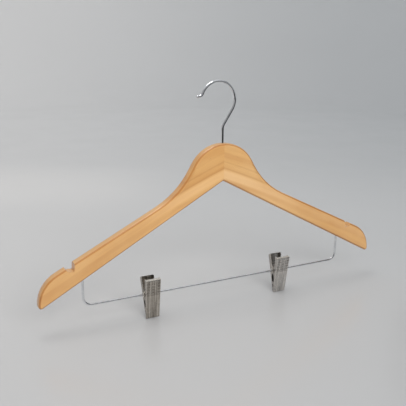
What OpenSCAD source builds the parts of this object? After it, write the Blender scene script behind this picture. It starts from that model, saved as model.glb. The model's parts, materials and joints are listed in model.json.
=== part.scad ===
// Wooden suit hanger with a swivel hook, a trouser bar and two sliding spring clips.
// Millimetres. +X is the hanger's right, -Y its front, +Z up.
// The origin is on the swivel axis, where the inside of the hook bears on the rail.

/* [Wooden arms] */
// Width over both tips
span = 450; // [441:1:453]
// Thickness of the wood
wood_t = 12; // [12:0.5:14]
// Radius of the rounded long edges
edge_r = 3; // [2:0.1:3]
// Drop from the rail to the inner corner of the arms
apex_drop = 113.6; // [111:0.1:120]
// Fall of the arms' underside below the horizontal, in degrees
under_fall = 28.6; // [28.3:0.1:28.9]
// Fall of the arms' top edge below the horizontal, in degrees
top_fall = 26.5; // [26.2:0.1:26.8]
// Height where the top edges would meet, above the inner corner
top_meet = 18.1; // [17:0.1:19]
// Height of the head above the inner corner
head_h = 44.6; // [43.5:0.1:46]
// Radius of the head's dome
dome_r = 44; // [42:0.5:45]
// Slope of the head's flanks, in degrees
flank_slope = 61; // [59:1:62]
// Radius of the hollow between head and arm
neck_r = 99; // [90:1:108]
// Radius of each shoulder end
shoulder_r = 37.8; // [36:0.1:39.5]
// Radius of the lower corner of each tip
tip_r = 3.2; // [3.1:0.1:3.8]

/* [Strap notches] */
// Distance of the notch's steep wall from the middle
notch_x = 183.3; // [181:0.1:186]
// Depth of the notch's wall
notch_depth = 9.3; // [7.5:0.1:9.8]
// Length of the notch's floor
notch_floor = 7; // [6:0.1:8]

/* [Hook] */
// Diameter of the hook's wire
hook_wire_d = 3.5; // [3.3:0.1:3.6]
// Inner radius of the hook
hook_inner_r = 20; // [18:0.5:22]
// Distance of the hook's middle to the left of the swivel axis
hook_offset = 6.2; // [5:0.1:8]
// Slope of the straight stretch between stem and hook, in degrees
hook_lean = 57.3; // [55:0.1:60]
// Angle on the hook at which it turns outwards, in degrees
hook_turn_out = 157; // [150:1:160]

/* [Trouser bar] */
// Diameter of the bar's wire
bar_wire_d = 3; // [2.8:0.1:3.2]
// Distance of each upright from the middle
bar_upright_x = 173.9; // [170:0.1:176]
// Depth of the bar below the inner corner
bar_drop = 127.3; // [125:0.1:135]
// Radius of the bar's corners
bar_bend_r = 10; // [8:1:14]

/* [Clips] */
// Place of the left clip along the bar
left_clip_x = -92.1; // [-150:0.1:-15]
// Place of the right clip along the bar
right_clip_x = 85.4; // [15:0.1:150]
// Backward tilt of the left clip, in degrees
left_clip_tilt = 7; // [-30:0.5:30]
// Backward tilt of the right clip, in degrees
right_clip_tilt = 2.5; // [-30:0.5:30]
// Height of a jaw above the bar
jaw_up = 21; // [19:0.5:23]
// Length of a jaw below the bar
jaw_down = 28; // [27:0.5:31]
// Width of the front jaw at its top
jaw_w = 18.1; // [17.5:0.1:20]
// Lean of each jaw when the clip is shut, in degrees
jaw_lean = 11.8; // [11.5:0.1:12]
// Thickness of the pressed steel
sheet_t = 0.8; // [0.7:0.1:0.8]

/* [Hidden] */

// Fineness of round wires, bores and tubes
round_fn = 48;
// A length well beyond the part's own thickness, for cutting tools
past = 30;
// How far a wire's bead stands out, and the length of wire that it covers on each side
bead_stand = 0.01;
bead_cover = 0.05;

// Head dome, hollow neck, top edge, shoulder and tip are arcs that run into each
// other. Every centre follows from the tangents: points are [x, z] from the inner corner.
half_span = span / 2;
dome_c = [0, head_h - dome_r];
flank_n = [sin(flank_slope), cos(flank_slope)];
top_n = [sin(top_fall), cos(top_fall)];
top_dir = [cos(top_fall), -sin(top_fall)];
under_n = [sin(under_fall), cos(under_fall)];
under_dir = [cos(under_fall), -sin(under_fall)];
// Where the flank's line meets the top edge's line
flank_k = flank_n * dome_c + dome_r;
top_k = top_n[1] * top_meet;
neck_det = flank_n[0] * top_n[1] - flank_n[1] * top_n[0];
neck_corner = [
    (flank_k * top_n[1] - flank_n[1] * top_k) / neck_det,
    (flank_n[0] * top_k - flank_k * top_n[0]) / neck_det
];
neck_c = neck_corner + neck_r * tan((flank_slope - top_fall) / 2) * top_dir + neck_r * top_n;
shoulder_c = [
    half_span - shoulder_r,
    (top_k - shoulder_r - top_n[0] * (half_span - shoulder_r)) / top_n[1]
];
// The tip's circle touches the shoulder's from inside and rests on the underside
tip_from = shoulder_c - tip_r * under_n;
tip_along = tip_from * under_dir;
tip_side = norm(tip_from - tip_along * under_dir);
tip_c = tip_r * under_n
    + (tip_along + sqrt(pow(shoulder_r - tip_r, 2) - pow(tip_side, 2))) * under_dir;
tip_angle = atan2(tip_c[1] - shoulder_c[1], tip_c[0] - shoulder_c[0]);
// A point on the underside from which the whole half outline can be seen
sight_x = 70;

// Half-width and half-pitch of the finger joint between the arms
finger_reach = 4.5;
finger_step = 3;
finger_count = 5;

// Clearance of the hook's stem in the wood, and of the bar's ends in their holes
stem_clear = 0.07;
bar_end_clear = 0.02;
bar_end_depth = 15;
stem_bore_r = hook_wire_d / 2 + stem_clear;
bar_hole_spare = 0.5;
// Pocket from below for the nut, measured up from the inner corner
pocket_r = 4.3;
pocket_roof = 10;
washer_r = 4;
washer_t = 0.5;
nut_flats = 6;
nut_t = 2.8;
nut_gap = 0.1;
nut_top = pocket_roof - washer_t - nut_gap;
stem_below_nut = 0.8;
thread_r = hook_wire_d / 2 - 0.05;
thread_root_r = hook_wire_d / 2 - 0.3;
thread_pitch = 0.6;
thread_turns = 7;
thread_core_up = 1;
nut_bore_r = thread_r + 0.02;

// The notch's floor falls a little towards its wall, and its far side is a ramp
notch_fall = 0.5;
notch_undercut = 0.4;
notch_corner = 1.2;
notch_ramp = 4;

hook_r = hook_inner_r + hook_wire_d / 2;
hook_c = [-hook_offset, -sqrt(pow(hook_inner_r, 2) - pow(hook_offset, 2))];
hook_join = hook_c + hook_r * [sin(hook_lean), -cos(hook_lean)];
hook_kink_r = 8;
hook_kink_turn = 90 - hook_lean;
hook_kink_z = hook_join[1] - hook_join[0] * tan(hook_lean)
    - hook_kink_r * tan(hook_kink_turn / 2);
hook_kink_end = [
    hook_kink_r * (1 - cos(hook_kink_turn)),
    hook_kink_z + hook_kink_r * sin(hook_kink_turn)
];
hook_turn = hook_turn_out + 90 - hook_lean;
flare_gap = 0.5;
flare_r = 4.5;
flare_turn = hook_turn_out - 90;
hook_tip_length = 1.6;

bar_z = -apex_drop - bar_drop;
bar_straight_x = bar_upright_x - bar_bend_r;
bar_top_z = bar_end_depth - apex_drop - bar_upright_x * tan(under_fall);

// Distance of a jaw's outer face from the pivot, and how much its width narrows
jaw_off = 7.7;
jaw_taper = 1.3;
jaw_nest_gap = 0.4;
back_jaw_w = jaw_w - 2 * (sheet_t + jaw_nest_gap);
jaw_inner = jaw_off - sheet_t;
lobe_r = 4.4;
roll_r = 2;
roll_lip = 1.4;
rib_count = 5;
rib_pitch = 3.7;
rib_r = 0.9;
rib_stand = 0.35;
rib_first = 3.2;
rib_margin = 1.4;
flange_top = 4.6;
flange_waist = 5.9;
front_flange_low = 2.2;
back_flange_low = 1;
flange_end_share = 0.3;
scallop_r = 1;
scallop_count = 3;
tab_low = -18;
tab_high = -15;
tab_reach = 5;
flange_end = -25.2;

tube_in_r = bar_wire_d / 2 + 0.05;
tube_out_r = tube_in_r + 0.65;
tube_fit = 0.07;
tube_head_r = 3.2;
tube_head_t = 0.7;
tube_head_x = 9;

pad_low = -27.6;
pad_high = -18.6;
pad_half_w = 6.1;
pad_gap = 0.1;
pad_teeth = 5;
pad_tooth = 0.35;

spring_wire_r = 0.55;
spring_r = 3.6;
spring_turns = 4;
spring_pitch = 1.25;
spring_leg = 14;
spring_gap = 0.05;
spring_steps = 14;
spring_sides = 8;
spring_splay = asin((jaw_inner - spring_gap - spring_wire_r - spring_r) / spring_leg);
spring_swing = jaw_lean + spring_splay;
spring_turn = 360 * spring_turns + 180 - 2 * spring_swing;
spring_half_x = spring_pitch * spring_turn / 720;

// Points of an arc about c from angle a to angle b in n steps, from step first on
function arc(c, r, a, b, n, first = 0) =
    [for (i = [first:n]) c + r * [cos(a + (b - a) * i / n), sin(a + (b - a) * i / n)]];

// Right half of the wood's outline, set in from the true outline by e
function half_outline(e) = concat(
    arc(dome_c, dome_r - e, 90, 90 - flank_slope, 8),
    arc(neck_c, neck_r + e, 270 - flank_slope, 270 - top_fall, 6),
    arc(shoulder_c, shoulder_r - e, 90 - top_fall, tip_angle, 8),
    arc(tip_c, tip_r - e, tip_angle, -90 - under_fall, 5, 1),
    [[sight_x, e / cos(under_fall) - sight_x * tan(under_fall)]]
);

// Whole outline: from the top of the head down the right side, and back up the left
function outline(e) =
    let (half = half_outline(e), n = len(half))
    concat(half, [[0, e / cos(under_fall)]], [for (i = [n - 1:-1:1]) [-half[i][0], half[i][1]]]);

// Half-width of a jaw, w wide at its top, at height z
function jaw_half(w, z) = w / 2 - jaw_taper / 2 * (jaw_up - z) / (jaw_up + jaw_down);

// Moves a shape given from the arms' inner corner into place
module at_corner() {
    translate([0, 0, -apex_drop]) children();
}

// Extrudes a shape drawn in X and Z through the whole depth
module through_y() {
    rotate([90, 0, 0]) linear_extrude(2 * past, center = true) children();
}

// Extrudes a shape drawn in Y and Z through the whole width
module through_x() {
    rotate([90, 0, 90]) linear_extrude(2 * past, center = true) children();
}

// Bead a hair fatter than the wire, over the join between two of its stretches
module bead(d) {
    sphere(d = d + 2 * bead_stand, $fn = round_fn);
}

// Straight wire up from the origin; what follows starts at its end
module straight(length, d) {
    translate([0, 0, bead_cover]) cylinder(h = length - 2 * bead_cover, d = d, $fn = round_fn);
    translate([0, 0, length]) children();
}

// Wire bent to the left, towards -X; what follows starts at its end
module turn_left(r, angle, d) {
    bead(d);
    translate([-r, 0, 0]) {
        rotate([90, 0, 0])
            rotate_extrude(angle = angle, $fn = 2 * round_fn)
                translate([r, 0])
                    circle(d = d, $fn = round_fn);
        rotate([0, -angle, 0])
            translate([r, 0, 0]) {
                bead(d);
                children();
            }
    }
}

// Wire bent to the right, towards +X; what follows starts at its end
module turn_right(r, angle, d) {
    rotate([0, 0, 180]) turn_left(r, angle, d) rotate([0, 0, 180]) children();
}

// Cylinder along X
module along_x(half_length, r) {
    rotate([0, 90, 0]) cylinder(h = 2 * half_length, r = r, center = true, $fn = round_fn);
}

// Both arms in one blank: outlines stacked along Y, set in near both faces
module wood_blank() {
    edge_steps = 4;
    front = [for (i = [0:edge_steps])
        let (a = 90 - 90 * i / edge_steps)
        [edge_r * (1 - cos(a)), edge_r * (1 - sin(a)) - wood_t / 2]];
    rings = concat(front, [for (i = [edge_steps:-1:0]) [front[i][0], -front[i][1]]]);
    size = len(outline(0));
    half = size / 2;
    back = (len(rings) - 1) * size;
    points = [for (ring = rings, p = outline(ring[0])) [p[0], ring[1], p[1]]];
    // Each half face is a fan about its sight point
    right_face = concat([half - 1, half], [for (i = [0:half - 2]) i]);
    left_face = concat([for (i = [half + 1:size - 1]) i], [0, half]);
    faces = concat(
        [right_face, left_face],
        [for (f = [right_face, left_face]) [for (i = [len(f):-1:1]) back + f[i % len(f)]]],
        [for (k = [0:len(rings) - 2], i = [0:size - 1])
            [k * size + i, (k + 1) * size + i,
             (k + 1) * size + (i + 1) % size, k * size + (i + 1) % size]]
    );
    polyhedron(points, faces);
}

// Everything to the right of the zig-zag glue line between the arms
module right_of_joint() {
    zigzag = [for (i = [0:finger_count])
        [(i % 2 == 0 ? -1 : 1) * finger_reach, finger_step * (i - finger_count / 2)]];
    translate([0, 0, -half_span])
        linear_extrude(half_span + head_h + past)
            polygon(concat(zigzag, [[past, past], [half_span + past, past],
                [half_span + past, -past], [past, -past]]));
}

// Strap notch: steep wall towards the head, short floor, ramp to the shoulder
module notch_cutter() {
    wall_top = top_meet - notch_x * tan(top_fall);
    floor_z = wall_top - notch_depth;
    through_y()
        polygon([
            [notch_x, wall_top + past],
            [notch_x, wall_top],
            [notch_x + notch_undercut, floor_z + notch_corner],
            [notch_x + notch_corner, floor_z],
            [notch_x + notch_floor, floor_z + notch_fall],
            [notch_x + notch_floor + notch_ramp, floor_z + notch_fall + notch_ramp],
            [notch_x + past, floor_z + past]
        ]);
}

// One arm with its half of the finger joint, the stem's bore, the nut's pocket,
// the strap notch and the hole for the bar's end. The other arm is the same, turned round.
module arm() {
    bar_hole_roof = bar_top_z + apex_drop + bar_hole_spare;
    difference() {
        intersection() {
            wood_blank();
            right_of_joint();
        }
        notch_cutter();
        cylinder(h = head_h + past, r = stem_bore_r, $fn = round_fn);
        translate([0, 0, -past]) cylinder(h = past + pocket_roof, r = pocket_r, $fn = round_fn);
        translate([bar_upright_x, 0, bar_hole_roof - bar_end_depth - past])
            cylinder(h = bar_end_depth + past, r = bar_wire_d / 2 + bar_end_clear, $fn = round_fn);
    }
}

module right_arm() {
    color("burlywood") at_corner() arm();
}

module left_arm() {
    color("burlywood") at_corner() rotate([0, 0, 180]) arm();
}

// Threaded end of the stem, with a ridge at every pitch
module stem_thread(low) {
    ridges = [for (i = [0:thread_turns - 1], top = [0, 1])
        [top == 0 ? thread_root_r : thread_r, low + (i + top / 2) * thread_pitch]];
    high = low + thread_turns * thread_pitch + thread_core_up;
    rotate_extrude($fn = round_fn)
        polygon(concat([[0, low]], ridges, [[thread_root_r, high], [0, high]]));
}

// Swivel hook: threaded stem, kink, straight stretch, hook and turned-out tip
module hook() {
    thread_low = nut_top - nut_t - stem_below_nut - apex_drop;
    thread_high = thread_low + thread_turns * thread_pitch;
    color("silver") {
        stem_thread(thread_low);
        translate([0, 0, thread_high])
            straight(hook_kink_z - thread_high, hook_wire_d)
            turn_right(hook_kink_r, hook_kink_turn, hook_wire_d)
            straight(norm(hook_join - hook_kink_end), hook_wire_d)
            turn_left(hook_r, hook_turn, hook_wire_d)
            straight(flare_gap, hook_wire_d)
            turn_right(flare_r, flare_turn, hook_wire_d)
            straight(hook_tip_length, hook_wire_d)
            bead(hook_wire_d);
    }
}

module hook_washer() {
    color("gainsboro")
        at_corner()
            translate([0, 0, pocket_roof - washer_t])
                difference() {
                    cylinder(h = washer_t, r = washer_r, $fn = round_fn);
                    translate([0, 0, -washer_t])
                        cylinder(h = 3 * washer_t, r = stem_bore_r, $fn = round_fn);
                }
}

module hook_nut() {
    color("darkgray")
        at_corner()
            translate([0, 0, nut_top - nut_t])
                difference() {
                    cylinder(h = nut_t, r = nut_flats / 2 / cos(30), $fn = 6);
                    translate([0, 0, -nut_t])
                        cylinder(h = 3 * nut_t, r = nut_bore_r, $fn = round_fn);
                }
}

// U-shaped bar whose upright ends sit in the arms
module trouser_bar() {
    upright = bar_top_z - bar_z - bar_bend_r;
    color("silver")
        translate([-bar_upright_x, 0, bar_top_z])
            rotate([0, 180, 0])
                straight(upright, bar_wire_d)
                turn_left(bar_bend_r, 90, bar_wire_d)
                straight(2 * bar_straight_x, bar_wire_d)
                turn_left(bar_bend_r, 90, bar_wire_d)
                straight(upright, bar_wire_d);
}

// Prism with the tapered front outline of a jaw w wide, longer by extra at both ends
module jaw_prism(w, extra) {
    low = -jaw_down - extra;
    high = jaw_up + extra;
    through_y()
        polygon([
            [-jaw_half(w, low), low],
            [jaw_half(w, low), low],
            [jaw_half(w, high), high],
            [-jaw_half(w, high), high]
        ]);
}

// Plate of a jaw, upright, with its top edge rolled inwards
module jaw_plate() {
    roll_y = -jaw_off + roll_r;
    roll_z = jaw_up - roll_r;
    translate([-past, -jaw_off, -jaw_down]) cube([2 * past, sheet_t, jaw_down + roll_z]);
    intersection() {
        translate([0, roll_y, roll_z])
            difference() {
                along_x(past, roll_r);
                along_x(2 * past, roll_r - sheet_t);
            }
        translate([-past, -jaw_off, roll_z]) cube([2 * past, roll_r, roll_r]);
    }
    translate([-past, roll_y, jaw_up - sheet_t]) cube([2 * past, roll_lip, sheet_t]);
}

// Side view of a jaw's flanges: low is their depth just below the pivot's lobe
module jaw_flanges(low, tab) {
    edge_y = flange_top - jaw_inner;
    through_x()
        polygon([
            [sheet_t / 2 - jaw_off, flange_end],
            [sheet_t / 2 - jaw_off, jaw_up - roll_r],
            [roll_r - jaw_off, jaw_up - sheet_t / 2],
            [edge_y, jaw_up - sheet_t / 2],
            [edge_y, lobe_r],
            [flange_waist - jaw_inner, lobe_r / 2],
            [flange_waist - jaw_inner, -lobe_r / 2],
            [low - jaw_inner, -2 * lobe_r],
            [low * flange_end_share - jaw_inner, flange_end]
        ]);
    along_x(past, lobe_r);
    if (tab)
        translate([-past, -jaw_inner, tab_low]) cube([2 * past, tab_reach, tab_high - tab_low]);
}

// Thumb ribs pressed out of a jaw's plate
module jaw_ribs(w) {
    intersection() {
        for (i = [0:rib_count - 1]) {
            z = jaw_up - rib_first - i * rib_pitch;
            translate([0, rib_r - rib_stand - jaw_off, z]) along_x(jaw_half(w, z) - rib_margin, rib_r);
        }
        translate([-past, -jaw_off - past, -past]) cube([2 * past, past + sheet_t / 2, 2 * past]);
    }
}

// Pressed steel jaw, upright, with its outer face to the front
module jaw(w, low, tab) {
    difference() {
        union() {
            intersection() {
                jaw_prism(w, 0);
                union() {
                    jaw_plate();
                    difference() {
                        jaw_flanges(low, tab);
                        jaw_prism(w - 2 * sheet_t, 1);
                    }
                }
            }
            jaw_ribs(w);
        }
        along_x(2 * past, tube_out_r + tube_fit);
        // Scallops in the flanges' free edges, between the ribs
        for (i = [0:scallop_count - 1])
            translate([0, flange_top - jaw_inner, jaw_up - rib_first - (i + 0.5) * rib_pitch])
                along_x(2 * past, scallop_r);
    }
}

// Grip pad that fills the wedge between a jaw's plate and the clip's middle plane
module pad() {
    step = (pad_high - pad_low) / pad_teeth;
    teeth = [for (i = [0:pad_teeth - 1], top = [0, 1])
        let (z = pad_low + (i + top) * step)
        [(z * sin(jaw_lean) - pad_gap - pad_tooth * (1 - top)) / cos(jaw_lean), z]];
    intersection() {
        through_x() polygon(concat([[-jaw_inner, pad_high], [-jaw_inner, pad_low]], teeth));
        translate([-pad_half_w, -past, -past]) cube([2 * pad_half_w, 2 * past, 2 * past]);
    }
}

// Hollow rivet that joins the jaws and slides on the bar
module pivot_tube() {
    difference() {
        union() {
            along_x(tube_head_x + tube_head_t, tube_out_r);
            for (side = [-1, 1])
                translate([side * (tube_head_x + tube_head_t / 2), 0, 0])
                    along_x(tube_head_t / 2, tube_head_r);
        }
        along_x(2 * past, tube_in_r);
    }
}

// Ring of the spring's wire about the point p, where the coil's radius points to angle a
function spring_ring(p, a) =
    [for (i = [0:spring_sides - 1])
        let (b = 360 * i / spring_sides)
        p + spring_wire_r * [sin(b), cos(b) * cos(a), cos(b) * sin(a)]];

// Torsion spring: a coil about the pivot, with one leg up each jaw
module spring() {
    start = 180 + spring_swing;
    finish = start + spring_turn;
    steps = ceil(spring_turns) * spring_steps;
    first = [-spring_half_x, spring_r * cos(start), spring_r * sin(start)];
    last = [spring_half_x, spring_r * cos(finish), spring_r * sin(finish)];
    rings = concat(
        [spring_ring(first + spring_leg * [0, sin(start), -cos(start)], start)],
        [for (i = [0:steps])
            let (a = start + spring_turn * i / steps)
            spring_ring([spring_half_x * (2 * i / steps - 1), spring_r * cos(a), spring_r * sin(a)], a)],
        [spring_ring(last + spring_leg * [0, -sin(finish), cos(finish)], finish)]
    );
    points = [for (ring = rings, p = ring) p];
    sides = spring_sides;
    faces = concat(
        [[for (i = [0:sides - 1]) i], [for (i = [sides - 1:-1:0]) (len(rings) - 1) * sides + i]],
        [for (k = [0:len(rings) - 2], i = [0:sides - 1])
            [k * sides + i, (k + 1) * sides + i,
             (k + 1) * sides + (i + 1) % sides, k * sides + (i + 1) % sides]]
    );
    polyhedron(points, faces);
}

// Puts a clip's piece on the bar
module on_bar(x, tilt) {
    translate([x, 0, bar_z]) rotate([-tilt, 0, 0]) children();
}

// Leans an upright piece of the front jaw into its shut position
module to_front() {
    rotate([jaw_lean, 0, 0]) children();
}

// The same for the back jaw
module to_back() {
    rotate([0, 0, 180]) to_front() children();
}

module front_jaw(x, tilt) {
    color("dimgray") on_bar(x, tilt) to_front() jaw(jaw_w, front_flange_low, true);
}

module back_jaw(x, tilt) {
    color("gray") on_bar(x, tilt) to_back() jaw(back_jaw_w, back_flange_low, false);
}

module clip_tube(x, tilt) {
    color("lightgray") on_bar(x, tilt) pivot_tube();
}

module clip_spring(x, tilt) {
    color("darkgray") on_bar(x, tilt) spring();
}

module front_pad(x, tilt) {
    color("black") on_bar(x, tilt) to_front() pad();
}

module back_pad(x, tilt) {
    color("black") on_bar(x, tilt) to_back() pad();
}

left_arm();
right_arm();
hook();
hook_washer();
hook_nut();
trouser_bar();
front_jaw(left_clip_x, left_clip_tilt);  // left_clip_front_jaw
back_jaw(left_clip_x, left_clip_tilt);  // left_clip_back_jaw
clip_tube(left_clip_x, left_clip_tilt);  // left_clip_pivot_tube
clip_spring(left_clip_x, left_clip_tilt);  // left_clip_spring
front_pad(left_clip_x, left_clip_tilt);  // left_clip_front_pad
back_pad(left_clip_x, left_clip_tilt);  // left_clip_back_pad
front_jaw(right_clip_x, right_clip_tilt);  // right_clip_front_jaw
back_jaw(right_clip_x, right_clip_tilt);  // right_clip_back_jaw
clip_tube(right_clip_x, right_clip_tilt);  // right_clip_pivot_tube
clip_spring(right_clip_x, right_clip_tilt);  // right_clip_spring
front_pad(right_clip_x, right_clip_tilt);  // right_clip_front_pad
back_pad(right_clip_x, right_clip_tilt);  // right_clip_back_pad
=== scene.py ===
"""Looks of the wooden suit hanger: its materials, springs, stage, lights and camera.

Everything is in metres in the row frame: +X to the right as seen from the front, -Y out of the
front, +Z up, with the origin where the hook bears on the rail. The materials' own measures are in
millimetres.
"""

import json
import math

import bpy
from mathutils import Matrix, Vector

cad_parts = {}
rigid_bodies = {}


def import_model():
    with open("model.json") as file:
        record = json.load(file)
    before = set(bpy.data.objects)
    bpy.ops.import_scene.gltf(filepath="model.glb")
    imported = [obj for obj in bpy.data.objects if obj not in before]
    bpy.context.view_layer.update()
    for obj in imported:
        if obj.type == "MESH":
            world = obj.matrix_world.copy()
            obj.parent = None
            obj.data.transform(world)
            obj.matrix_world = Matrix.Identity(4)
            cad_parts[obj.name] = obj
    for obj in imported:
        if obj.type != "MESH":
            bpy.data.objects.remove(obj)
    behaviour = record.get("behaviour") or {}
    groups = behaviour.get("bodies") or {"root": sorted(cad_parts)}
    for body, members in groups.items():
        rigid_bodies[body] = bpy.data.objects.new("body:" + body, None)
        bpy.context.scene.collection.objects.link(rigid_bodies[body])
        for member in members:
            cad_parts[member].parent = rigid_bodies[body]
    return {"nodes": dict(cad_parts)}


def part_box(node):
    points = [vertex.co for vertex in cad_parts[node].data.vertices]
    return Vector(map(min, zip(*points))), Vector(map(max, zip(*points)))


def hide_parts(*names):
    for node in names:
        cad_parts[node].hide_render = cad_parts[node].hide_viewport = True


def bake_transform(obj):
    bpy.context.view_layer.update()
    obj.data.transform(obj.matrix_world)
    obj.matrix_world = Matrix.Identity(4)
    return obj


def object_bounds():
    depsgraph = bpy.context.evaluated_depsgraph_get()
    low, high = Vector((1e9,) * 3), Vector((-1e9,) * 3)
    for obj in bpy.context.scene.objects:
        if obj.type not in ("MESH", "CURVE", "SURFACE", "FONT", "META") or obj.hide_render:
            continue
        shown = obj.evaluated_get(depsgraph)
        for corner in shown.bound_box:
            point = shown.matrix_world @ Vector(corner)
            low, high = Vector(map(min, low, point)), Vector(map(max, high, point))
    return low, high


for leftover in list(bpy.data.objects):
    bpy.data.objects.remove(leftover)

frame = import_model()
cad_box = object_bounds()

MM = 0.001
SIDES = ("left", "right")

# The clips as they hang, in degrees and millimetres: each one's swing on the bar, a jaw's lean from
# the clip's middle plane, its top above the pivot, and how its half-width grows with height
CLIP_TILT = {"left": 7.0, "right": 2.5}
JAW_LEAN = 11.8
JAW_UP = 21.0
JAW_TAPER = 0.01327
# Half-width at the pivot of the front jaw (False) and the narrower back one (True)
JAW_HALF = {False: 8.77, True: 7.57}
# How far the first thumb rib is below the jaw's top, and the step from rib to rib
RIB_FIRST = 3.2
RIB_PITCH = 3.7


# ---------------------------------------------------------------- camera

CAMERA_PLACE = Vector((-379.6, -698.1, 86.2)) * MM
CAMERA_YAW = math.radians(26.975)
CAMERA_PITCH = math.radians(16.024)
CAMERA_ROLL = math.radians(0.50)
FRAME_PX = 406
FOCAL_PX = 692.4
SENSOR_MM = 36.0


def make_camera():
    """The camera at the place and angle from which the hanger is shown."""
    forward = Vector((
        math.sin(CAMERA_YAW) * math.cos(CAMERA_PITCH),
        math.cos(CAMERA_YAW) * math.cos(CAMERA_PITCH),
        -math.sin(CAMERA_PITCH),
    ))
    level = Vector((math.cos(CAMERA_YAW), -math.sin(CAMERA_YAW), 0))
    above = level.cross(forward)
    right = level * math.cos(CAMERA_ROLL) + above * math.sin(CAMERA_ROLL)
    up = above * math.cos(CAMERA_ROLL) - level * math.sin(CAMERA_ROLL)
    data = bpy.data.cameras.new("camera")
    data.sensor_width = SENSOR_MM
    data.lens = FOCAL_PX / FRAME_PX * SENSOR_MM
    data.clip_start = 0.01
    data.clip_end = 50
    camera = bpy.data.objects.new("camera", data)
    bpy.context.collection.objects.link(camera)
    turn = Matrix((right, up, -forward)).transposed()
    camera.matrix_world = Matrix.Translation(CAMERA_PLACE) @ turn.to_4x4()
    bpy.context.scene.camera = camera


# ---------------------------------------------------------------- materials

class Shader:
    """A Principled material whose nodes are added one call at a time."""

    def __init__(self, name):
        self.material = bpy.data.materials.new(name)
        self.material.use_nodes = True
        self.tree = self.material.node_tree
        self.tree.nodes.clear()
        self.surface = self.tree.nodes.new("ShaderNodeBsdfPrincipled")
        output = self.tree.nodes.new("ShaderNodeOutputMaterial")
        self.tree.links.new(self.surface.outputs[0], output.inputs["Surface"])

    def plug(self, socket, value):
        """Links a socket, or sets a number or a colour."""
        if value is None:
            return
        if isinstance(value, bpy.types.NodeSocket):
            self.tree.links.new(value, socket)
        elif isinstance(value, tuple) and socket.type == "RGBA":
            socket.default_value = (*value, 1.0)
        else:
            socket.default_value = value

    def node(self, kind, inputs=(), **settings):
        """A node of that kind with its inputs plugged in order, None for one left alone."""
        made = self.tree.nodes.new("ShaderNode" + kind)
        for key, value in settings.items():
            setattr(made, key, value)
        for socket, value in zip(made.inputs, inputs):
            self.plug(socket, value)
        return made

    def place(self):
        """Place on the piece in millimetres."""
        at = self.node("TexCoord").outputs["Object"]
        scaled = self.node("VectorMath", operation="SCALE")
        self.plug(scaled.inputs[0], at)
        scaled.inputs["Scale"].default_value = 1 / MM
        return self.node("SeparateXYZ", [scaled.outputs[0]]).outputs

    def facing(self):
        """Which way the surface faces on the piece."""
        return self.node("SeparateXYZ", [self.node("TexCoord").outputs["Normal"]]).outputs

    def math(self, operation, a, b=None, c=None):
        return self.node("Math", [a, b, c], operation=operation).outputs[0]

    def times(self, a, b):
        return self.math("MULTIPLY", a, b)

    def plus(self, a, b):
        return self.math("ADD", a, b)

    def distance(self, value, middle):
        """How far value is from middle, either way."""
        return self.math("ABSOLUTE", self.plus(value, -middle))

    def vector(self, x, y, z):
        return self.node("CombineXYZ", [x, y, z]).outputs[0]

    def noise(self, vector, scale=1.0, detail=2.0, roughness=0.5):
        made = self.node("TexNoise")
        self.plug(made.inputs["Vector"], vector)
        for key, value in (("Scale", scale), ("Detail", detail), ("Roughness", roughness)):
            made.inputs[key].default_value = value
        return made.outputs["Fac"]

    def ramp(self, value, low, high, out_low=0.0, out_high=1.0):
        """Maps low..high to out_low..out_high, smoothly and held at both ends."""
        made = self.node("MapRange", [value, low, high, out_low, out_high],
                         interpolation_type="SMOOTHSTEP")
        return made.outputs[0]

    def mix(self, amount, a, b, blend="MIX"):
        """Colour b over colour a by that amount."""
        made = self.node("Mix", data_type="RGBA", blend_type=blend)
        self.plug(made.inputs[0], amount)
        self.plug(made.inputs[6], a)
        self.plug(made.inputs[7], b)
        return made.outputs[2]

    def bump(self, height, depth_mm, strength=1.0):
        made = self.node("Bump")
        made.inputs["Strength"].default_value = strength
        made.inputs["Distance"].default_value = depth_mm * MM
        self.plug(made.inputs["Height"], height)
        return made.outputs[0]

    def finish(self, **sockets):
        """Sets the shader's own sockets and gives the material back."""
        for key, value in sockets.items():
            self.plug(self.surface.inputs[key.replace("_", " ")], value)
        return self.material


# The grain's lines are counted in millimetres from the corner under the head. They slope with the
# arms further out, and are lifted and flatter near the middle.
CORNER_DROP = 113.6
ARM_SLOPE = 0.53
ARM_ALONG = (0.89, -0.46)
HEAD_LIFT = 10.2
HEAD_REACH = 60
# Dark late-wood lines, by place, half-width and strength, and a pale band by place and half-width
LATE_LINES = ((25.9, 1.9, 0.40), (33.8, 1.6, 0.28))
PALE_BAND = (18.5, 7.5)


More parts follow.
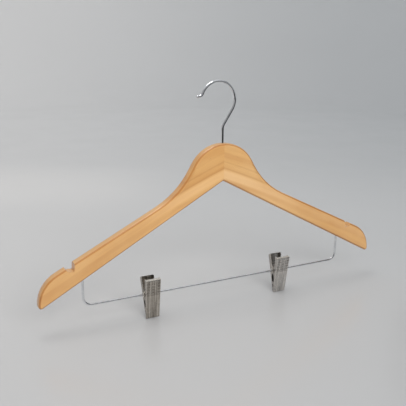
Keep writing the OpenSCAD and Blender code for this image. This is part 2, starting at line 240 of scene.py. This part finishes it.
def wood(name, side, seed, tint):
    """Lacquered wood whose grain runs down one arm: side is 1 for the right arm, -1 for the left."""
    s = Shader(name)
    x, y, z = s.place()
    out = s.times(x, side)
    up = s.plus(z, CORNER_DROP)
    lift = s.times(s.math("POWER", math.e, s.times(out, -1 / HEAD_REACH)), HEAD_LIFT)
    level = s.plus(s.plus(up, s.times(out, ARM_SLOPE)), lift)
    along = s.plus(s.times(out, ARM_ALONG[0]), s.times(up, ARM_ALONG[1]))

    def grain(line, scales, shift=seed, **look):
        """Noise by its cells per millimetre along the arm, through it and across its lines."""
        down, through, over = scales
        return s.noise(
            s.vector(s.times(along, down), s.times(y, through), s.plus(s.times(line, over), shift)),
            **look)

    wander = s.plus(grain(level, (0.011, 0.03, 0.035), detail=1), -0.5)
    across = s.plus(level, s.times(wander, 9))
    rings = grain(across, (0.004, 0.06, 0.13), detail=1)
    fibres = grain(across, (0.045, 1.3, 1.9), detail=3, roughness=0.6)
    pores = grain(across, (0.16, 2.2, 4.2), detail=1)
    cloud = grain(across, (0.02, 0.05, 0.05), seed + 7, detail=2)
    colour = s.mix(s.ramp(rings, 0.34, 0.64), (0.605, 0.312, 0.106), (0.675, 0.374, 0.132))
    colour = s.mix(s.ramp(fibres, 0.42, 0.62, 0, 0.35), colour, (0.55, 0.275, 0.095))
    colour = s.mix(s.ramp(cloud, 0.35, 0.7, 0, 0.35), colour, (0.73, 0.44, 0.185))
    colour = s.mix(s.ramp(pores, 0.67, 0.76, 0, 0.35), colour, (0.34, 0.155, 0.05))
    # The late-wood lines cross the head with the pale band under them, and fade down the arm
    fade = s.ramp(out, 120, 20, 0.25, 1)
    for middle, half, amount in LATE_LINES:
        away = s.distance(s.plus(level, s.times(wander, 3)), middle)
        colour = s.mix(s.times(s.ramp(away, half, 0.2, 0, amount), fade), colour, (0.48, 0.22, 0.07))
    middle, half = PALE_BAND
    band = s.ramp(s.distance(level, middle), half, 3, 0, 0.5)
    colour = s.mix(s.times(band, fade), colour, (0.84, 0.53, 0.255))
    # The arm's own tint, which fades out along its outer half
    colour = s.mix(s.ramp(out, 130, 70), colour, tint, "MULTIPLY")
    # Painted shade: the rounded edges are darkened and the steep narrow sides browned
    normal = s.facing()
    flat = s.math("ABSOLUTE", normal["Y"])
    rounded = s.times(s.ramp(flat, 0.99, 0.88), s.ramp(flat, 0.3, 0.6))
    colour = s.mix(s.times(rounded, 0.9), colour, (0.64, 0.475, 0.29), "MULTIPLY")
    narrow = s.ramp(flat, 0.5, 0.15)
    steep = s.ramp(normal["Z"], 0.86, 0.6)
    colour = s.mix(s.times(narrow, steep), colour, (0.90, 0.80, 0.60), "MULTIPLY")
    # Painted light from above: the narrow sides that face up are only yellowed a little
    gentle = s.plus(s.times(steep, -0.6), 0.6)
    colour = s.mix(s.times(narrow, gentle), colour, (1.0, 0.95, 0.76), "MULTIPLY")
    height = s.plus(s.times(fibres, 0.6), s.times(s.ramp(pores, 0.62, 0.74), -0.5))
    return s.finish(
        Base_Color=colour,
        Roughness=s.ramp(fibres, 0.3, 0.7, 0.42, 0.30),
        Normal=s.bump(height, 0.05, 0.35),
        Specular_IOR_Level=0.5,
        Coat_Weight=0.8,
        Coat_Roughness=0.1,
        Coat_IOR=1.5,
    )


# Brush marks in metal: noise cells per millimetre across and along them
BRUSH_ACROSS = 4.5
BRUSH_ALONG = 0.12


def plated(name, colour, dull, roughness, brushed=0.0, spots=0.25):
    """Plated metal: colour where clean, dull where handled, brushed up and down if asked."""
    s = Shader(name)
    x, y, z = s.place()
    smudge = s.noise(s.vector(x, y, z), scale=0.16, detail=3, roughness=0.6)
    fleck = s.noise(s.vector(x, y, z), scale=2.2, detail=2)
    lines = s.noise(
        s.vector(s.times(x, BRUSH_ACROSS), s.times(y, BRUSH_ACROSS), s.times(z, BRUSH_ALONG)),
        detail=3, roughness=0.65)
    tone = s.mix(s.ramp(smudge, 0.35, 0.7, 0, 0.8), colour, dull)
    tone = s.mix(s.ramp(fleck, 0.62, 0.75, 0, spots), tone, tuple(0.45 * c for c in dull))
    tone = s.mix(s.ramp(lines, 0.4, 0.65, 0, 0.6 * brushed), tone, tuple(0.5 * c for c in dull))
    low, high = roughness
    scratched = s.times(s.ramp(lines, 0.35, 0.65), 0.12 * brushed)
    height = s.plus(s.times(fleck, 0.3), s.times(lines, brushed))
    return s.finish(
        Base_Color=tone,
        Metallic=1.0,
        Roughness=s.plus(s.ramp(smudge, 0.35, 0.7, low, high), scratched),
        Normal=s.bump(height, 0.02, 0.25 + 0.3 * brushed),
    )


# Each clip's nickel: its clean colour, its handled colour and the dark lines brushed down it
PLATING = {
    # Painted light and shade: one nickel, a darker copy on the left clip and a lighter one on the right
    "left": ((0.60, 0.55, 0.485), (0.52, 0.48, 0.42), (0.25, 0.225, 0.195)),
    "right": ((0.80, 0.77, 0.735), (0.71, 0.685, 0.65), (0.40, 0.385, 0.365)),
}
# Painted highlight, painted shade between the ribs and inside, fine brush marks, darker side faces
NICKEL_PAINTED_HIGHLIGHT = (0.93, 0.88, 0.80)
NICKEL_CELL_PAINTED_SHADE = (0.17, 0.15, 0.13)
NICKEL_INSIDE_PAINTED_SHADE = (0.035, 0.032, 0.03)
NICKEL_LINE = (0.28, 0.255, 0.225)
NICKEL_EDGE = (0.34, 0.31, 0.28)
# The plate's inner face, measured from the pivot along the jaw's inward axis
PLATE_INNER = (-6.95, -6.8)


def jaw_sheet(name, side, back):
    """Brushed nickel of one jaw: dark lines down its plate, painted shade between its ribs and inside.
    """
    s = Shader(name)
    low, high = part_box(f"{side}_clip_pivot_tube")
    centre = (low + high) / 2 / MM
    tilt, lean = math.radians(CLIP_TILT[side]), math.radians(JAW_LEAN)
    turn = -1 if back else 1

    def own_frame(x, y, z):
        """The jaw's own axes: across it, inward from its plate, and up along its plate."""
        level_y = s.plus(s.times(y, math.cos(tilt) * turn), s.times(z, -math.sin(tilt) * turn))
        level_z = s.plus(s.times(y, math.sin(tilt)), s.times(z, math.cos(tilt)))
        return (x,
                s.plus(s.times(level_y, math.cos(lean)), s.times(level_z, math.sin(lean))),
                s.plus(s.times(level_y, -math.sin(lean)), s.times(level_z, math.cos(lean))))

    x, y, z = s.place()
    across, inward, up = own_frame(
        s.plus(x, -centre.x), s.plus(y, -centre.y), s.plus(z, -centre.z))
    normal = s.facing()
    _, facing_in, _ = own_frame(normal["X"], normal["Y"], normal["Z"])
    base, dull, line = PLATING[side]
    lines = s.noise(
        s.vector(s.times(across, BRUSH_ACROSS), s.times(inward, BRUSH_ACROSS), s.times(up, BRUSH_ALONG)),
        detail=3, roughness=0.65)
    stripes = s.noise(
        s.vector(s.times(across, 0.62), s.times(inward, 0.4), s.times(up, 0.012)),
        detail=2, roughness=0.7)
    smudge = s.noise(s.vector(x, y, z), scale=0.16, detail=3, roughness=0.6)
    fleck = s.noise(s.vector(x, y, z), scale=2.2, detail=2)
    tone = s.mix(s.ramp(smudge, 0.4, 0.7, 0, 0.5), base, dull)
    tone = s.mix(s.ramp(stripes, 0.53, 0.42, 0, 0.75), tone, line)
    # Painted highlight in bright streaks down the plate
    tone = s.mix(s.ramp(stripes, 0.56, 0.66, 0, 0.7), tone, NICKEL_PAINTED_HIGHLIGHT)
    tone = s.mix(s.ramp(lines, 0.45, 0.65, 0, 0.45), tone, NICKEL_LINE)
    # Painted shade in the cells between the ribs outside the plate, painted highlight on the rolled top.
    # ribs counts them downwards, with 0 on the first one.
    outside = s.ramp(facing_in, -0.4, -0.7)
    ribs = s.times(s.plus(s.times(up, -1), JAW_UP - RIB_FIRST), 1 / RIB_PITCH)
    between = s.ramp(s.math("COSINE", s.times(ribs, 2 * math.pi)), 0.5, -0.6)
    zone = s.times(s.ramp(ribs, 4.7, 4.4), s.ramp(ribs, -0.5, 0.1))
    cells = s.times(s.times(between, zone), s.times(outside, s.ramp(stripes, 0.60, 0.42, 0.25, 0.95)))
    tone = s.mix(s.times(cells, 0.7), tone, NICKEL_CELL_PAINTED_SHADE)
    tone = s.mix(s.times(s.ramp(ribs, -0.42, -0.62), 0.9), tone, NICKEL_PAINTED_HIGHLIGHT)
    # Painted shade inside the jaw and on the flanges' inner faces, strongest below the pivot
    half = s.plus(s.times(up, JAW_TAPER), JAW_HALF[back])
    narrow = s.ramp(s.plus(s.math("ABSOLUTE", across), s.times(half, -1)), -0.3, -0.5)
    inside_shade = s.math("MAXIMUM", s.ramp(facing_in, 0.4, 0.7), s.times(narrow, s.ramp(inward, *PLATE_INNER)))
    lower = s.times(s.ramp(up, 1, -3), 0.93)
    upper = s.times(s.ramp(up, 1, 6), 0.15)
    tone = s.mix(s.times(inside_shade, s.plus(lower, upper)), tone, NICKEL_INSIDE_PAINTED_SHADE)
    # Faces turned across the jaw are darker
    edge = s.math("ABSOLUTE", normal["X"])
    tone = s.mix(s.times(s.ramp(edge, 0.6, 0.9), 0.5), tone, NICKEL_EDGE)
    height = s.plus(s.plus(s.times(fleck, 0.3), lines), s.times(stripes, 1.5))
    scratched = s.times(s.ramp(lines, 0.35, 0.65), 0.1)
    return s.finish(
        Base_Color=tone,
        Metallic=1.0,
        Roughness=s.plus(s.ramp(smudge, 0.35, 0.7, 0.20, 0.30), scratched),
        Normal=s.bump(height, 0.02, 0.5),
    )


def rubber(name):
    """Matt black grip pad with a fine moulded grain."""
    s = Shader(name)
    x, y, z = s.place()
    grain = s.noise(s.vector(x, y, z), scale=3.0, detail=4, roughness=0.7)
    dust = s.noise(s.vector(x, y, z), scale=0.35, detail=3)
    colour = s.mix(s.ramp(dust, 0.45, 0.75, 0, 0.5), (0.018, 0.018, 0.018), (0.06, 0.058, 0.055))
    return s.finish(
        Base_Color=colour,
        Roughness=s.ramp(dust, 0.3, 0.7, 0.55, 0.8),
        Normal=s.bump(grain, 0.05, 0.6),
        Specular_IOR_Level=0.35,
    )


# Painted light runs away from the camera and across its view: sine and cosine of its yaw, rounded
YAW_SIN, YAW_COS = 0.454, 0.891
# How far behind the origin the middles of the painted broad light band and brighter patch are
PAINTED_BAND_DEPTH = 250
PAINTED_PATCH_DEPTH = 570


def studio_grey(name):
    """Seamless pale backdrop, faintly glossy, painted lighter to the left, far back, in a band and a
    patch.
    """
    s = Shader(name)
    x, y, z = s.place()
    sheen = s.noise(s.vector(x, y, z), scale=0.01, detail=2)
    cloud = s.noise(s.vector(x, y, z), scale=0.0012, detail=1)
    depth = s.plus(s.times(x, YAW_SIN), s.times(y, YAW_COS))
    across = s.plus(s.times(x, YAW_COS), s.times(y, -YAW_SIN))
    # Painted shade near the camera and to the right, painted light far back and on the left
    tone = s.mix(s.ramp(depth, -500, 1700), (0.605, 0.593, 0.585), (0.87, 0.862, 0.855))
    tone = s.mix(s.ramp(across, -1300, 1000), tone, (0.66, 0.685, 0.705), "MULTIPLY")
    # Painted light in a broad band across the backdrop and in a brighter patch on the left
    band = s.ramp(s.distance(depth, PAINTED_BAND_DEPTH), 700, 100)
    tone = s.mix(band, tone, (1.09, 1.085, 1.08), "MULTIPLY")
    patch = s.times(s.ramp(s.distance(depth, PAINTED_PATCH_DEPTH), 230, 30), s.ramp(across, -30, -260))
    tone = s.mix(patch, tone, (1.09, 1.08, 1.07), "MULTIPLY")
    tone = s.mix(s.ramp(cloud, 0.3, 0.7, 0, 0.2), tone, (0.95, 0.95, 0.95), "MULTIPLY")
    return s.finish(
        Base_Color=tone,
        Roughness=s.ramp(sheen, 0.3, 0.7, 0.24, 0.27),
        Specular_IOR_Level=0.45,
    )


# ---------------------------------------------------------------- pieces

def smooth_group():
    """Geometry nodes that shade smooth, except over edges sharper than the set angle."""
    group = bpy.data.node_groups.new("smooth_below", "GeometryNodeTree")
    group.interface.new_socket("Geometry", in_out="INPUT", socket_type="NodeSocketGeometry")
    group.interface.new_socket("Angle", in_out="INPUT", socket_type="NodeSocketFloat")
    group.interface.new_socket("Geometry", in_out="OUTPUT", socket_type="NodeSocketGeometry")
    nodes, links = group.nodes, group.links
    start = nodes.new("NodeGroupInput")
    end = nodes.new("NodeGroupOutput")
    faces = nodes.new("GeometryNodeSetShadeSmooth")
    edges = nodes.new("GeometryNodeSetShadeSmooth")
    edges.domain = "EDGE"
    angle = nodes.new("GeometryNodeInputMeshEdgeAngle")
    compare = nodes.new("FunctionNodeCompare")
    compare.operation = "LESS_THAN"
    links.new(start.outputs[0], faces.inputs["Geometry"])
    links.new(faces.outputs[0], edges.inputs["Geometry"])
    links.new(angle.outputs[0], compare.inputs[0])
    links.new(start.outputs[1], compare.inputs[1])
    links.new(compare.outputs[0], edges.inputs["Shade Smooth"])
    links.new(edges.outputs[0], end.inputs[0])
    return group


SMOOTH_BELOW = smooth_group()
# Points closer than this (metres) are one, and faces closer than this (degrees) are one flat
SAME_POINT = 1e-6
SAME_FLAT = 0.4
# Only edges this much sharper (degrees) than the smoothed ones are eased
BEVEL_ABOVE = 5
BEVEL_SEGMENTS = 2


def dress(node, material, soft_angle, bevel_mm=0.0):
    """Finish, small eased edges and smooth shading up to soft_angle degrees on a CAD node."""
    piece = frame["nodes"][node]
    mesh = piece.data
    mesh.materials.clear()
    mesh.materials.append(material)
    # The CAD's own normals would override the smooth shading
    mesh.attributes.remove(mesh.attributes["custom_normal"])
    weld = piece.modifiers.new("joined_faces", "WELD")
    weld.merge_threshold = SAME_POINT
    flat = piece.modifiers.new("whole_faces", "DECIMATE")
    flat.decimate_type = "DISSOLVE"
    flat.angle_limit = math.radians(SAME_FLAT)
    if bevel_mm:
        bevel = piece.modifiers.new("eased_edges", "BEVEL")
        bevel.width = bevel_mm * MM
        bevel.segments = BEVEL_SEGMENTS
        bevel.limit_method = "ANGLE"
        bevel.angle_limit = math.radians(soft_angle + BEVEL_ABOVE)
    smooth = piece.modifiers.new("smooth_below", "NODES")
    smooth.node_group = SMOOTH_BELOW
    smooth[SMOOTH_BELOW.interface.items_tree["Angle"].identifier] = math.radians(soft_angle)
    level = piece.modifiers.new("flat_faces", "WEIGHTED_NORMAL")
    level.keep_sharp = True


def new_piece(name, points, faces, material):
    """A smooth-shaded mesh object made from points in metres."""
    mesh = bpy.data.meshes.new(name)
    mesh.from_pydata(points, [], faces)
    mesh.materials.append(material)
    mesh.polygons.foreach_set("use_smooth", [True] * len(mesh.polygons))
    mesh.update()
    piece = bpy.data.objects.new(name, mesh)
    bpy.context.collection.objects.link(piece)
    return piece


# The springs, in millimetres and degrees: LEG_SWING leans each leg out from upright onto its jaw
WIRE_R = 0.55
COIL_R = 3.6
COIL_TURNS = 4
COIL_PITCH = 1.25
COIL_LEG = 14.0
LEG_SWING = 22.92
WIRE_SIDES = 16
STEPS_PER_TURN = 40
LEG_STEPS = 8
# Shares of the wire's radius at which its flat ends have rings
END_RINGS = (0.55, 0.85)


def clip_spring(side, material):
    """Torsion spring about the pivot with a leg up each jaw, closed by flat wire ends."""
    low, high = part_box(f"{side}_clip_pivot_tube")
    centre = (low + high) / 2
    tilt = Matrix.Rotation(-math.radians(CLIP_TILT[side]), 3, "X")
    sweep = 360 * COIL_TURNS + 180 - 2 * LEG_SWING
    half_x = COIL_PITCH * sweep / 720
    start = math.radians(180 + LEG_SWING)
    sweep = math.radians(sweep)
    path = []
    for i in range(LEG_STEPS):
        path.append((start, -half_x, COIL_LEG * (1 - i / LEG_STEPS)))
    steps = COIL_TURNS * STEPS_PER_TURN
    for i in range(steps + 1):
        path.append((start + sweep * i / steps, half_x * (2 * i / steps - 1), 0.0))
    for i in range(1, LEG_STEPS + 1):
        path.append((start + sweep, half_x, -COIL_LEG * i / LEG_STEPS))
    points, faces = [], []

    def ring(angle, x, leg, radius):
        """Points round the wire, leg millimetres along the tangent from that angle of the coil."""
        radial = Vector((0, math.cos(angle), math.sin(angle)))
        tangent = Vector((0, math.sin(angle), -math.cos(angle)))
        middle = Vector((x, 0, 0)) + COIL_R * radial + leg * tangent
        for k in range(WIRE_SIDES):
            b = 2 * math.pi * k / WIRE_SIDES
            at = middle + radius * (math.sin(b) * Vector((1, 0, 0)) + math.cos(b) * radial)
            points.append(centre + tilt @ (at * MM))

    for share in END_RINGS:
        ring(*path[0], WIRE_R * share)
    for stop in path:
        ring(*stop, WIRE_R)
    for share in reversed(END_RINGS):
        ring(*path[-1], WIRE_R * share)
    count = len(points) // WIRE_SIDES
    for k in range(count - 1):
        for i in range(WIRE_SIDES):
            j = (i + 1) % WIRE_SIDES
            faces.append((k * WIRE_SIDES + i, (k + 1) * WIRE_SIDES + i,
                          (k + 1) * WIRE_SIDES + j, k * WIRE_SIDES + j))
    faces.append(tuple(range(WIRE_SIDES)))
    faces.append(tuple(reversed(range((count - 1) * WIRE_SIDES, count * WIRE_SIDES))))
    piece = new_piece(f"{side}_clip_coil", points, faces, material)
    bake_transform(piece)
    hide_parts(f"{side}_clip_spring")


# ---------------------------------------------------------------- stage and lights

# The stage, in metres: how far the floor is below the hanger, the radii of its inner rings and of
# its flat part, the radius of the sweep up into the wall, and the wall's height above that
FLOOR_GAP = 0.0004
FLOOR_RINGS = (0.2, 0.6, 1.1)
FLAT_R = 1.7
SWEEP_R = 1.1
WALL_H = 1.6
SWEEP_STEPS = 16
STAGE_SIDES = 96


def make_stage(material):
    """Round floor whose rim sweeps up into a seamless wall on every side."""
    floor_z = cad_box[0][2] - FLOOR_GAP
    profile = [(r, 0.0) for r in FLOOR_RINGS]
    for i in range(SWEEP_STEPS + 1):
        a = math.pi / 2 * i / SWEEP_STEPS
        profile.append((FLAT_R + SWEEP_R * math.sin(a), SWEEP_R * (1 - math.cos(a))))
    profile.append((FLAT_R + SWEEP_R, SWEEP_R + WALL_H))
    points = [(0, 0, floor_z)]
    faces = []
    for r, z in profile:
        for k in range(STAGE_SIDES):
            a = 2 * math.pi * k / STAGE_SIDES
            points.append((r * math.cos(a), r * math.sin(a), floor_z + z))
    for k in range(STAGE_SIDES):
        faces.append((0, 1 + k, 1 + (k + 1) % STAGE_SIDES))
    for j in range(len(profile) - 1):
        for k in range(STAGE_SIDES):
            a, b = 1 + j * STAGE_SIDES + k, 1 + j * STAGE_SIDES + (k + 1) % STAGE_SIDES
            faces.append((a, a + STAGE_SIDES, b + STAGE_SIDES, b))
    new_piece("stage", points, faces, material)


LIGHT_TARGET = (0, 0, -0.15)
CARD_STEPS = 24


def softbox(name, place, width, height, watts):
    """Rectangular area light at place, facing the hanger."""
    data = bpy.data.lights.new(name, "AREA")
    data.shape = "RECTANGLE"
    data.size = width
    data.size_y = height
    data.energy = watts
    lamp = bpy.data.objects.new(name, data)
    bpy.context.collection.objects.link(lamp)
    lamp.location = place
    aim = Vector(LIGHT_TARGET) - Vector(place)
    lamp.rotation_euler = aim.to_track_quat("-Z", "Y").to_euler()
    return lamp


def only_reflected(card):
    """Makes a card part of the stage that shows in reflections and nowhere else."""
    card.visible_camera = False
    card.visible_diffuse = False
    card.visible_shadow = False
    card.visible_transmission = False


def top_card(name, place, half, material):
    """Level square card above the hanger, for the highlight on the head."""
    x, y, z = place
    points = [(x - half, y - half, z), (x - half, y + half, z),
              (x + half, y + half, z), (x + half, y - half, z)]
    only_reflected(new_piece(name, points, [(0, 1, 2, 3)], material))


def side_card(name, radius, angles, heights, material):
    """Curved upright card round the hanger, for the dark streaks in the bright metal.

    It stands between two angles, in degrees from the front towards the right, and two heights.
    """
    first, last = angles
    points, faces = [], []
    for i in range(CARD_STEPS + 1):
        a = math.radians(first + (last - first) * i / CARD_STEPS)
        points += [(radius * math.sin(a), -radius * math.cos(a), z) for z in heights]
    for i in range(CARD_STEPS):
        faces.append((2 * i, 2 * i + 1, 2 * i + 3, 2 * i + 2))
    only_reflected(new_piece(name, points, faces, material))


def make_lights():
    """Even sky light, two area lights, and the two cards that only reflections see."""
    world = bpy.data.worlds.new("world")
    bpy.context.scene.world = world
    world.use_nodes = True
    background = world.node_tree.nodes["Background"]
    background.inputs["Color"].default_value = (0.97, 0.985, 1.0, 1)
    background.inputs["Strength"].default_value = 0.72
    softbox("overhead", (-0.3, 0.08, 1.2), width=0.6, height=0.5, watts=3.6)
    fill = softbox("front_fill", (-0.2, -1.9, 0.8), width=1.6, height=1.2, watts=36)
    fill.visible_glossy = False
    lamp = Shader("lamp_card").finish(
        Base_Color=(0.0, 0.0, 0.0), Emission_Color=(1.0, 0.98, 0.95), Emission_Strength=16.0)
    top_card("card_top", place=(-0.10, 0.14, 1.1), half=0.13, material=lamp)
    black = Shader("black_card").finish(Base_Color=(0.01, 0.01, 0.01), Roughness=0.9)
    # Its lower edge stays clear of the floor, where it would show in the floor's reflection
    side_card("card_right", radius=0.30, angles=(-45, 92), heights=(-0.205, -0.05), material=black)


# ---------------------------------------------------------------- assembly

# Edges bent by less than this many degrees shade smooth: on flat parts and on round wires
SOFT = 30
SOFT_WIRE = 40

make_camera()
bpy.context.scene.view_settings.view_transform = "Standard"

chrome = plated("chrome_wire", (0.86, 0.87, 0.89), (0.70, 0.71, 0.73), (0.05, 0.14), spots=0.15)
nickel = plated("nickel_sheet", (0.74, 0.69, 0.62), (0.50, 0.465, 0.42), (0.20, 0.32), brushed=1.0)
zinc = plated("zinc_steel", (0.62, 0.62, 0.63), (0.42, 0.42, 0.42), (0.25, 0.45), spots=0.5)
spring_steel = plated("spring_steel", (0.66, 0.66, 0.66), (0.42, 0.42, 0.42), (0.18, 0.32))
pvc = rubber("grip_pvc")
left_wood = wood("lacquered_wood_left", side=-1, seed=3.1, tint=(1.07, 1.08, 1.09))
right_wood = wood("lacquered_wood_right", side=1, seed=11.7, tint=(1.09, 1.15, 1.28))

dress("left_arm", left_wood, SOFT, bevel_mm=0.2)
dress("right_arm", right_wood, SOFT, bevel_mm=0.2)
dress("hook", chrome, SOFT_WIRE)
dress("trouser_bar", chrome, SOFT_WIRE)
dress("hook_washer", zinc, SOFT, bevel_mm=0.08)
dress("hook_nut", zinc, SOFT, bevel_mm=0.2)
for side in SIDES:
    front_sheet = jaw_sheet(f"nickel_{side}_front", side, back=False)
    back_sheet = jaw_sheet(f"nickel_{side}_back", side, back=True)
    dress(f"{side}_clip_front_jaw", front_sheet, SOFT, bevel_mm=0.12)
    dress(f"{side}_clip_back_jaw", back_sheet, SOFT, bevel_mm=0.12)
    dress(f"{side}_clip_pivot_tube", nickel, SOFT, bevel_mm=0.1)
    dress(f"{side}_clip_front_pad", pvc, SOFT, bevel_mm=0.15)
    dress(f"{side}_clip_back_pad", pvc, SOFT, bevel_mm=0.15)
    clip_spring(side, spring_steel)

make_stage(studio_grey("studio_grey"))
make_lights()
